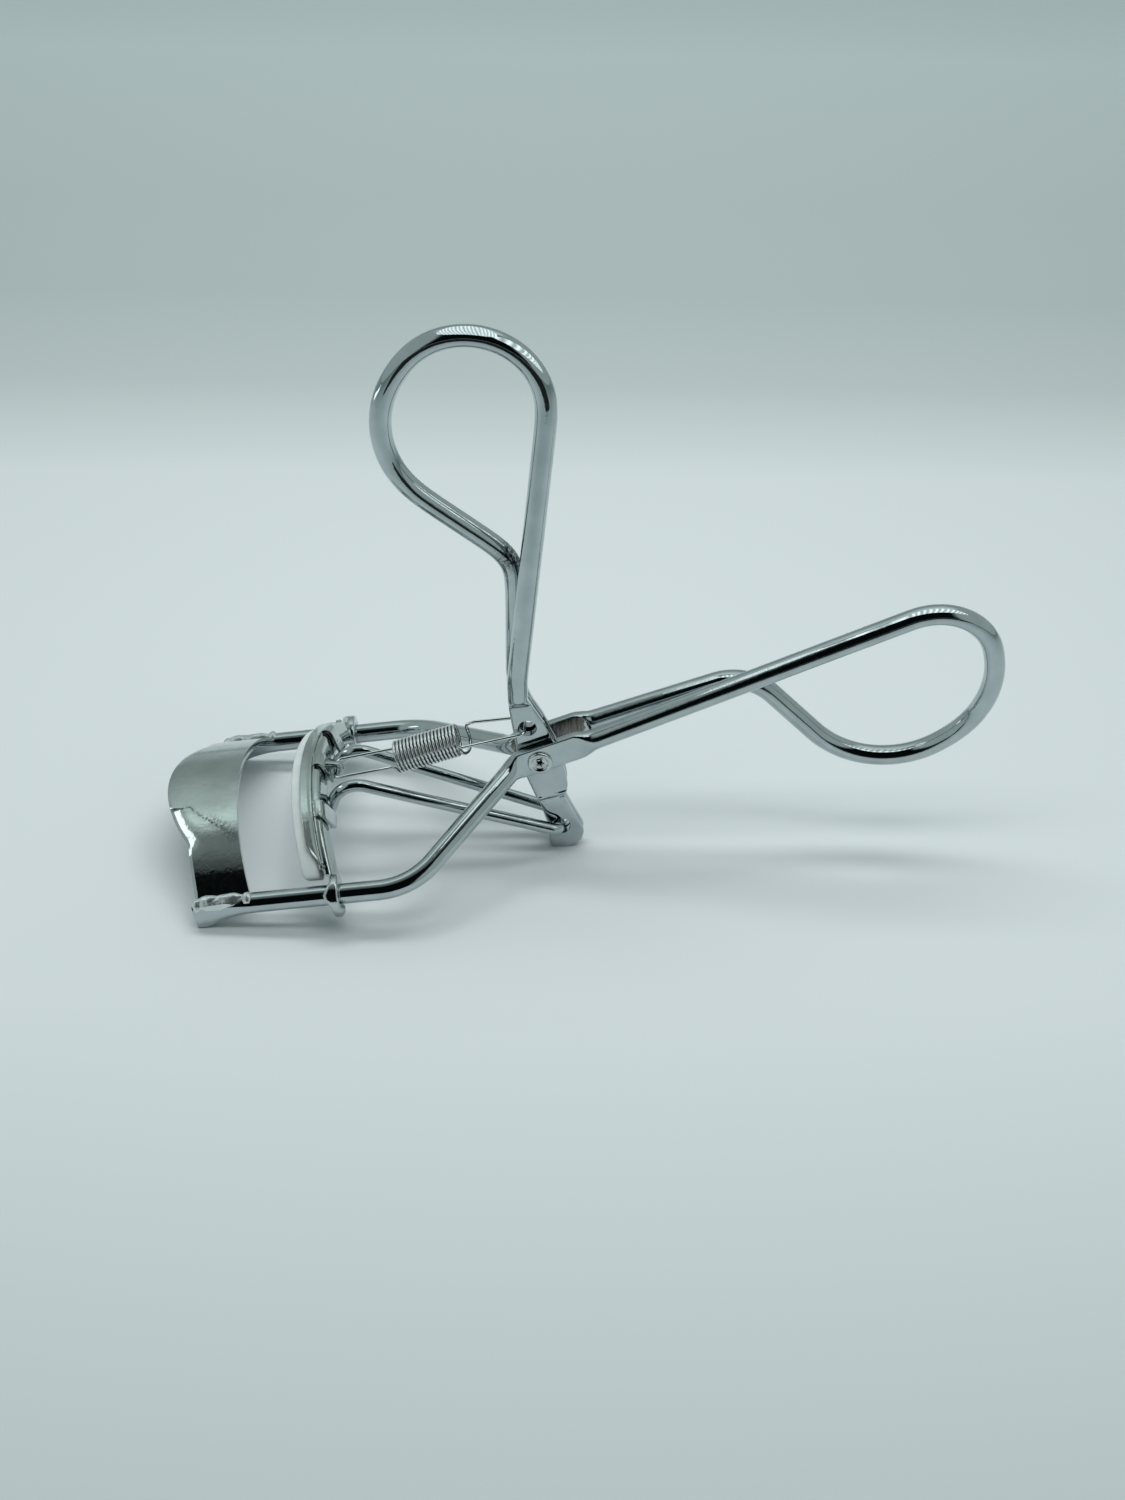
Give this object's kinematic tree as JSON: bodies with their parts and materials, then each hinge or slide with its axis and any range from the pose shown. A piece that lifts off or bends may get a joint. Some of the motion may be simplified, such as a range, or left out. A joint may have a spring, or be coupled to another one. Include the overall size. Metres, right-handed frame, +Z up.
{
  "type": "eyelash curler",
  "caption": "Eyelash curler: bent-wire frame with a finger loop and fixed curved jaw, squeeze lever with a finger loop, links, return spring and a padded slider on rails.",
  "frame": {"origin": "centre of the footprint, on the table that the rail tips and the lever tabs stand on", "axes": "+X from the jaws to the handle loop, +Y from the near rail to the far rail, +Z up"},
  "size_m": [0.1058, 0.0386, 0.074],
  "materials": {
    "chrome_wire": "mirror-bright plated steel wire with fine drawing marks",
    "chrome_sheet": "plated steel sheet, slightly wavy from pressing",
    "braze": "plated braze, uneven",
    "rivet": "plated rivet with a rolled rim",
    "chrome_link": "mirror-bright plated steel wire",
    "spring_steel": "plated spring wire",
    "silicone": "white silicone, satin"
  },
  "bodies": {
    "frame": {"frame_wire": "chrome_wire", "fixed_jaw": "chrome_sheet", "near_jaw_braze": "braze", "far_jaw_braze": "braze", "near_rivet": "rivet", "far_rivet": "rivet"},
    "lever": {"lever_wire": "chrome_wire"},
    "slider": {"slider_plate": "chrome_sheet", "pad_holder": "chrome_sheet", "lash_pad": "silicone"},
    "link_near": {"near_link": "chrome_link"},
    "link_far": {"far_link": "chrome_link"},
    "spring": {"return_spring": "spring_steel"}
  },
  "joints": [
    {"name": "lever_pivot", "type": "hinge", "parent": "frame", "child": "lever", "pos_m": [-0.00506, 0, 0.01518], "axis": [0, 1, 0], "range_deg": [0, 33], "stiffness_Nm_per_rad": 0.15},
    {"name": "slider_slide", "type": "slide", "parent": "frame", "child": "slider", "axis": [-0.9905, 0, -0.1379], "range_m": [0, 0.007]},
    {"name": "near_link_swing", "type": "hinge", "parent": "slider", "child": "link_near", "pos_m": [-0.03212, -0.0053, 0.00758], "axis": [0, 1, 0], "range_deg": [-1.7, 0]},
    {"name": "far_link_swing", "type": "hinge", "parent": "slider", "child": "link_far", "pos_m": [-0.03212, 0.0053, 0.00758], "axis": [0, 1, 0], "range_deg": [-1.7, 0]},
    {"name": "spring_stretch", "type": "slide", "parent": "slider", "child": "spring", "axis": [0.9885, 0, 0.1513], "range_m": [0, 0.0095], "deforming": ["return_spring"]}
  ],
  "couplings": [
    {"joint": "slider_slide", "follows": "lever_pivot", "m_per_rad": 0.01215},
    {"joint": "near_link_swing", "follows": "lever_pivot", "ratio": -0.05},
    {"joint": "far_link_swing", "follows": "lever_pivot", "ratio": -0.05},
    {"joint": "spring_stretch", "follows": "lever_pivot", "m_per_rad": 0.01643}
  ]
}
